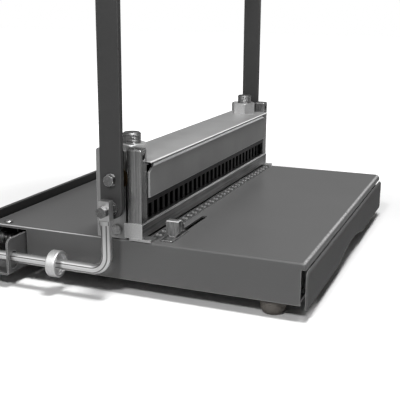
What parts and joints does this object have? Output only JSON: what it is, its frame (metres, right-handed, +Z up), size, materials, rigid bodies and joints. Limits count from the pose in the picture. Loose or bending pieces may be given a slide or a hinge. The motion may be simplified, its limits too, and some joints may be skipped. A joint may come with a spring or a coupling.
{
  "type": "manual punch and wire closer",
  "caption": "Manual desktop paper punch with an upright pull handle on side arms, a paper throat, a chip drawer in the base and a rod-driven wire closer along its back edge.",
  "frame": {"origin": "centre of the bounding box in plan, at the bench the feet stand on", "axes": "+X to the operator's right, +Y to the back, +Z up"},
  "size_m": [0.4556, 0.375, 0.48],
  "materials": {
    "base_paint": "satin",
    "arm_paint": "satin",
    "head_paint": "satin metallic",
    "jaw_black": "matt",
    "foot_rubber": "satin",
    "grip_rubber": "matt",
    "zinc_plate": "zinc plated",
    "ground_steel": "ground",
    "hard_steel": "polished",
    "screw_steel": "zinc plated",
    "grip_tube": "plated",
    "spring_steel": "bright wire",
    "bronze": "turned"
  },
  "bodies": {
    "base": {"base_housing": "base_paint", "rear_foot_plate": "base_paint", "rubber_feet": "foot_rubber", "foot_screws": "screw_steel", "die_bed": "ground_steel", "throat_spacers": "zinc_plate", "paper_backstop": "ground_steel", "stripper_bar": "ground_steel", "side_plate_left": "ground_steel", "side_plate_right": "ground_steel", "side_plate_bolts": "screw_steel", "guide_post_left": "ground_steel", "guide_post_right": "ground_steel", "post_set_screws": "screw_steel", "pivot_bushes": "bronze", "column_left": "hard_steel", "column_right": "hard_steel", "column_nuts": "screw_steel", "head_top_plate": "head_paint", "head_front_cover": "head_paint", "head_back_cover": "head_paint", "back_cover_screws": "screw_steel", "wire_rail": "zinc_plate", "drawer_runners": "zinc_plate", "fixed_jaw": "jaw_black", "fixed_jaw_screws": "screw_steel", "guide_rods": "hard_steel", "guide_brackets": "zinc_plate", "bracket_screws": "screw_steel", "stop_collars": "zinc_plate", "return_springs": "spring_steel", "channel_springs": "spring_steel"},
    "handle": {"handle_arm_left": "arm_paint", "handle_arm_right": "arm_paint", "grip_bar": "grip_tube", "grip_sleeve": "grip_rubber", "grip_bolts": "screw_steel", "crank_left": "ground_steel", "crank_right": "ground_steel", "pivot_bolts": "screw_steel", "link_pins": "screw_steel", "link_nuts": "screw_steel"},
    "punch_head": {"press_beam": "ground_steel", "punch_holder": "ground_steel", "punches": "hard_steel", "beam_bushes": "bronze", "beam_screws": "screw_steel"},
    "link_left": {"closer_rod_left": "zinc_plate"},
    "link_right": {"closer_rod_right": "zinc_plate"},
    "collar_left": {"setting_collar_left": "zinc_plate"},
    "collar_right": {"setting_collar_right": "zinc_plate"},
    "carriage": {"closer_channel": "jaw_black", "moving_jaw": "jaw_black", "jaw_screws": "screw_steel"},
    "side_stop": {"side_stop": "zinc_plate", "clamp_plate": "zinc_plate"},
    "thumb_screw": {"thumb_screw": "screw_steel"},
    "drawer": {"drawer_tray": "zinc_plate", "drawer_front": "base_paint"}
  },
  "joints": [
    {"name": "handle", "type": "hinge", "parent": "base", "child": "handle", "pos_m": [0, 0, 0.1155], "axis": [1, 0, 0], "range_deg": [0, 75], "stiffness_Nm_per_rad": 4, "springref_deg": -17.19},
    {"name": "punch_stroke", "type": "slide", "parent": "base", "child": "punch_head", "axis": [0, 0, -1], "range_m": [0, 0.008], "deforming": ["return_springs"]},
    {"name": "link_left", "type": "hinge", "parent": "handle", "child": "link_left", "pos_m": [-0.2148, 0, 0.089], "axis": [1, 0, 0], "range_deg": [-88, 0]},
    {"name": "link_right", "type": "hinge", "parent": "handle", "child": "link_right", "pos_m": [0.2148, 0, 0.089], "axis": [1, 0, 0], "range_deg": [-88, 0]},
    {"name": "collar_left", "type": "slide", "parent": "link_left", "child": "collar_left", "axis": [0, 1, 0], "range_m": [-0.024, 0.027]},
    {"name": "collar_right", "type": "slide", "parent": "link_right", "child": "collar_right", "axis": [0, 1, 0], "range_m": [-0.024, 0.027]},
    {"name": "closer", "type": "slide", "parent": "base", "child": "carriage", "axis": [0, 1, 0], "range_m": [0, 0.01], "stiffness_N_per_m": 1000, "springref_m": -0.005, "deforming": ["channel_springs"]},
    {"name": "side_stop", "type": "slide", "parent": "base", "child": "side_stop", "axis": [1, 0, 0], "range_m": [-0.014, 0.062]},
    {"name": "thumb_screw", "type": "hinge", "parent": "side_stop", "child": "thumb_screw", "pos_m": [-0.153, -0.0475, 0.059], "axis": [0, 0, 1], "continuous": true},
    {"name": "drawer", "type": "slide", "parent": "base", "child": "drawer", "axis": [0, -1, 0], "range_m": [0, 0.2]}
  ],
  "couplings": [
    {"joint": "punch_stroke", "follows": "handle", "m_per_rad": 0.006046},
    {"joint": "link_left", "follows": "handle", "ratio": -1.165},
    {"joint": "link_right", "follows": "handle", "ratio": -1.165}
  ]
}
